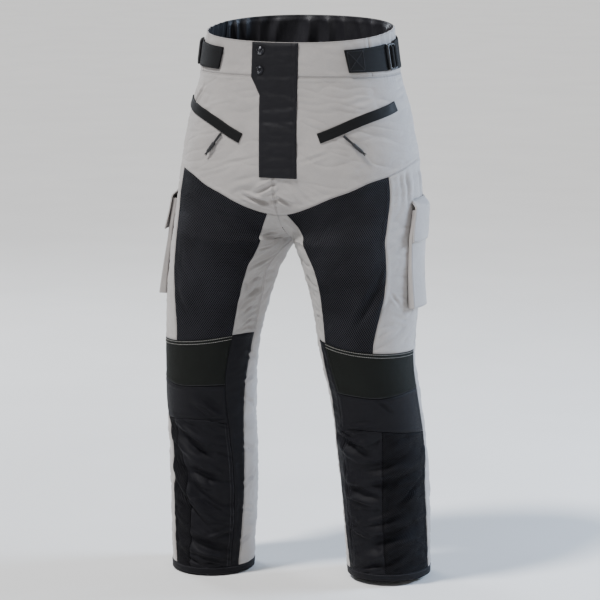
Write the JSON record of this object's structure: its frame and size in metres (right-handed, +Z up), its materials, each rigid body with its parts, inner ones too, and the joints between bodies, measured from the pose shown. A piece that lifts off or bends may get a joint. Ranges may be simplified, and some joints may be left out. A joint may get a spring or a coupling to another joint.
{
  "type": "motorcycle trousers",
  "caption": "Hollow worn-shape trousers with a gathered waist, side straps and buckles, mesh thighs, bellows thigh pockets, dark knees and shins, and open hems.",
  "frame": {"origin": "middle of the open waist, at the height of the front waistband's upper part, where the wearer holds the garment", "axes": "+Z up toward the waist, -Y the front, +X the wearer's left"},
  "size_m": [0.5121, 0.3165, 1.0407],
  "materials": {
    "grey_shell": "plain woven nylon shell, matte",
    "stretch": "crinkled stretch cloth, matte",
    "black_cloth": "black woven cloth, matte",
    "thigh_mesh": "black open spacer mesh, matte",
    "calf_mesh": "black fine mesh, matte",
    "knee_cloth": "greenish black woven cloth, matte",
    "bonded_strip": "bonded pocket strip, satin",
    "webbing": "flat woven webbing",
    "buckle_plastic": "moulded, satin",
    "dark_plastic": "cord and moulded grip",
    "stud_metal": "dark plated, worn"
  },
  "bodies": {
    "garment": {"waistband_front_left": "grey_shell", "waistband_side_left": "grey_shell", "yoke_left": "grey_shell", "thigh_mesh_left": "thigh_mesh", "inner_thigh_left": "stretch", "side_panel_left": "grey_shell", "knee_left": "knee_cloth", "inner_strip_left": "black_cloth", "upper_shin_left": "black_cloth", "shin_left": "black_cloth", "calf_mesh_left": "calf_mesh", "back_left": "grey_shell", "hem_left": "black_cloth", "welt_left": "bonded_strip", "strap_front_left": "webbing", "strap_loop_left": "buckle_plastic", "strap_back_left": "webbing", "cargo_pocket_left": "grey_shell", "cargo_flap_left": "grey_shell", "waistband_front_right": "grey_shell", "waistband_side_right": "grey_shell", "yoke_right": "grey_shell", "thigh_mesh_right": "thigh_mesh", "inner_thigh_right": "stretch", "side_panel_right": "grey_shell", "knee_right": "knee_cloth", "inner_strip_right": "black_cloth", "upper_shin_right": "black_cloth", "shin_right": "black_cloth", "calf_mesh_right": "calf_mesh", "back_right": "grey_shell", "hem_right": "black_cloth", "welt_right": "bonded_strip", "strap_front_right": "webbing", "strap_loop_right": "buckle_plastic", "strap_back_right": "webbing", "cargo_pocket_right": "grey_shell", "cargo_flap_right": "grey_shell", "waistband_back": "black_cloth", "fly_placket": "black_cloth", "stud_upper": "stud_metal", "stud_lower": "stud_metal"},
    "pull_left": {"zip_pull_left": "dark_plastic"},
    "pull_right": {"zip_pull_right": "dark_plastic"}
  },
  "joints": [
    {"name": "pull_left_hinge", "type": "hinge", "parent": "garment", "child": "pull_left", "pos_m": [0.12837, -0.11939, -0.13672], "axis": [-0.5677, -0.3331, -0.7528], "range_deg": [0, 95]},
    {"name": "pull_right_hinge", "type": "hinge", "parent": "garment", "child": "pull_right", "pos_m": [-0.10905, -0.12681, -0.14073], "axis": [-0.7261, 0.2988, 0.6193], "range_deg": [0, 95]}
  ]
}
